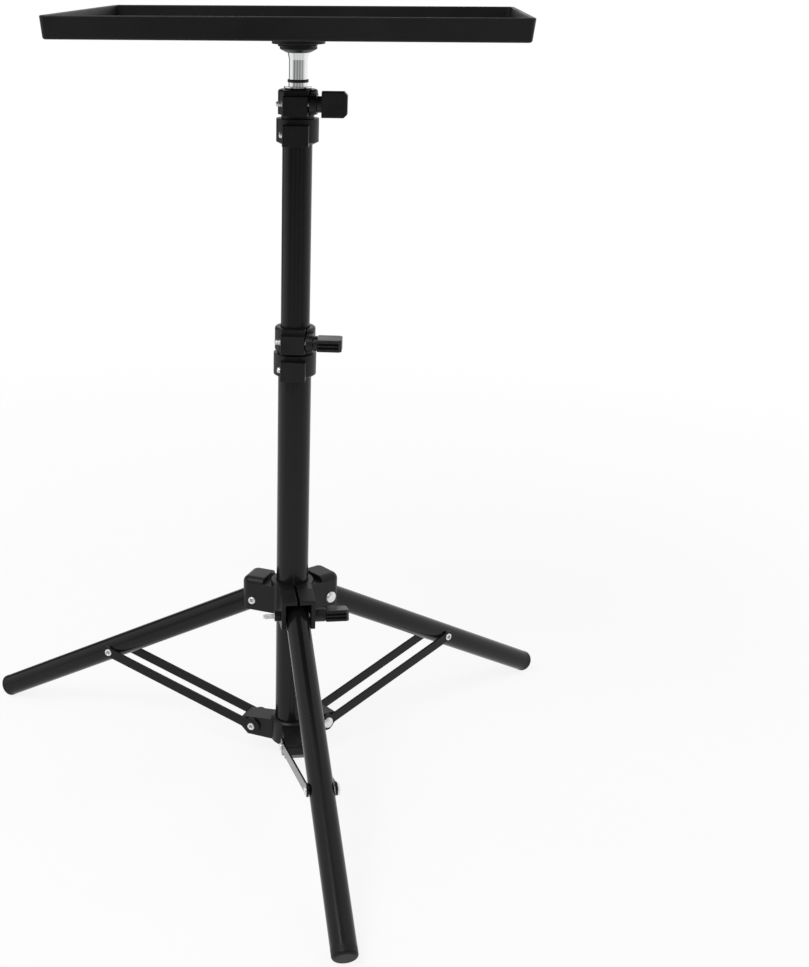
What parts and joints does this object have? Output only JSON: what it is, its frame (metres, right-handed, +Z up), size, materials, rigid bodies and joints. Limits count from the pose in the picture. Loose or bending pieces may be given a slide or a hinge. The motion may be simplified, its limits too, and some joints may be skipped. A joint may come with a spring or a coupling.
{
  "type": "portable projector stand",
  "caption": "Folding tripod stand with telescoping screw-clamped column tubes and a shallow rectangular tray that turns on a spigot, for a portable projector.",
  "frame": {"origin": "on the floor, under the column's axis, with the legs spread", "axes": "+Z up the column, +X to the right along the tray's long side, +Y to the back along its short side"},
  "size_m": [0.5687, 0.5561, 0.705],
  "materials": {
    "black_paint": "satin black powder coat",
    "black_moulding": "fine-textured black moulding",
    "knob_plastic": "black moulding",
    "tray_plastic": "textured black sheet",
    "ring_plastic": "black",
    "zinc": "bright zinc plate",
    "chrome": "polished chrome",
    "foot_rubber": "matte black rubber"
  },
  "bodies": {
    "column": {"column_tube": "black_paint", "brace_hub": "black_moulding", "front_hub_rivet": "zinc", "right_hub_rivet": "zinc", "left_hub_rivet": "zinc", "mid_clamp": "black_moulding", "mid_clamp_nut": "zinc"},
    "collar": {"leg_collar": "black_moulding", "right_collar_rivet": "zinc", "left_collar_rivet": "zinc", "collar_nut": "black_moulding"},
    "collar_knob": {"collar_knob": "knob_plastic", "collar_bolt": "zinc"},
    "front_leg": {"front_leg": "black_paint", "front_foot": "foot_rubber"},
    "right_leg": {"right_leg": "black_paint", "right_foot": "foot_rubber"},
    "left_leg": {"left_leg": "black_paint", "left_foot": "foot_rubber"},
    "front_brace": {"front_brace_bar_inner": "black_paint", "front_brace_bar_outer": "black_paint", "front_brace_rivet": "zinc"},
    "right_brace": {"right_brace_bar_inner": "black_paint", "right_brace_bar_outer": "black_paint", "right_brace_rivet": "zinc"},
    "left_brace": {"left_brace_bar_inner": "black_paint", "left_brace_bar_outer": "black_paint", "left_brace_rivet": "zinc"},
    "mid_mast": {"mid_tube": "black_paint", "top_clamp": "black_moulding", "top_clamp_nut": "zinc"},
    "mid_knob": {"mid_clamp_knob": "knob_plastic", "mid_clamp_bolt": "zinc"},
    "top_mast": {"top_tube": "black_paint", "spigot": "chrome", "spigot_ring": "ring_plastic", "spigot_washer": "chrome"},
    "top_knob": {"top_clamp_knob": "knob_plastic", "top_clamp_bolt": "zinc"},
    "tray": {"tray": "tray_plastic", "tray_flange": "black_moulding"}
  },
  "joints": [
    {"name": "collar_slide", "type": "slide", "parent": "column", "child": "collar", "axis": [0, 0, 1], "range_m": [0, 0.194]},
    {"name": "front_leg_fold", "type": "hinge", "parent": "collar", "child": "front_leg", "pos_m": [0.00753, -0.03397, 0.1695], "axis": [0.9763, 0.2164, 0], "range_deg": [0, 42.36]},
    {"name": "right_leg_fold", "type": "hinge", "parent": "collar", "child": "right_leg", "pos_m": [0.02566, 0.02351, 0.1695], "axis": [-0.6756, 0.7373, 0], "range_deg": [0, 42.36]},
    {"name": "left_leg_fold", "type": "hinge", "parent": "collar", "child": "left_leg", "pos_m": [-0.03319, 0.01047, 0.1695], "axis": [-0.3007, -0.9537, 0], "range_deg": [0, 42.36]},
    {"name": "front_brace_fold", "type": "hinge", "parent": "column", "child": "front_brace", "pos_m": [0.0079, -0.03564, 0.032], "axis": [-0.9763, -0.2164, 0], "range_deg": [0, 52.62]},
    {"name": "right_brace_fold", "type": "hinge", "parent": "column", "child": "right_brace", "pos_m": [0.02691, 0.02466, 0.032], "axis": [0.6756, -0.7373, 0], "range_deg": [0, 52.62]},
    {"name": "left_brace_fold", "type": "hinge", "parent": "column", "child": "left_brace", "pos_m": [-0.03481, 0.01098, 0.032], "axis": [0.3007, 0.9537, 0], "range_deg": [0, 52.62]},
    {"name": "mid_slide", "type": "slide", "parent": "column", "child": "mid_mast", "axis": [0, 0, 1], "range_m": [-0.149, 0.2]},
    {"name": "top_slide", "type": "slide", "parent": "mid_mast", "child": "top_mast", "axis": [0, 0, 1], "range_m": [0, 0.3]},
    {"name": "tray_swivel", "type": "hinge", "parent": "top_mast", "child": "tray", "pos_m": [0, 0, 0.68], "axis": [0, 0, 1], "continuous": true},
    {"name": "mid_knob_turn", "type": "hinge", "parent": "column", "child": "mid_knob", "pos_m": [0, -0.0198, 0.4268], "axis": [1, 0, 0], "range_deg": [0, 270]},
    {"name": "top_knob_turn", "type": "hinge", "parent": "mid_mast", "child": "top_knob", "pos_m": [0, -0.0198, 0.6313], "axis": [1, 0, 0], "range_deg": [0, 270]},
    {"name": "collar_knob_turn", "type": "hinge", "parent": "collar", "child": "collar_knob", "pos_m": [0.00753, -0.03397, 0.1695], "axis": [0.9763, 0.2164, 0], "range_deg": [0, 270]}
  ],
  "couplings": [
    {"joint": "front_leg_fold", "follows": "collar_slide", "rad_per_m": 3.8101},
    {"joint": "right_leg_fold", "follows": "collar_slide", "rad_per_m": 3.8101},
    {"joint": "left_leg_fold", "follows": "collar_slide", "rad_per_m": 3.8101},
    {"joint": "front_brace_fold", "follows": "collar_slide", "rad_per_m": 4.7331},
    {"joint": "right_brace_fold", "follows": "collar_slide", "rad_per_m": 4.7331},
    {"joint": "left_brace_fold", "follows": "collar_slide", "rad_per_m": 4.7331}
  ]
}
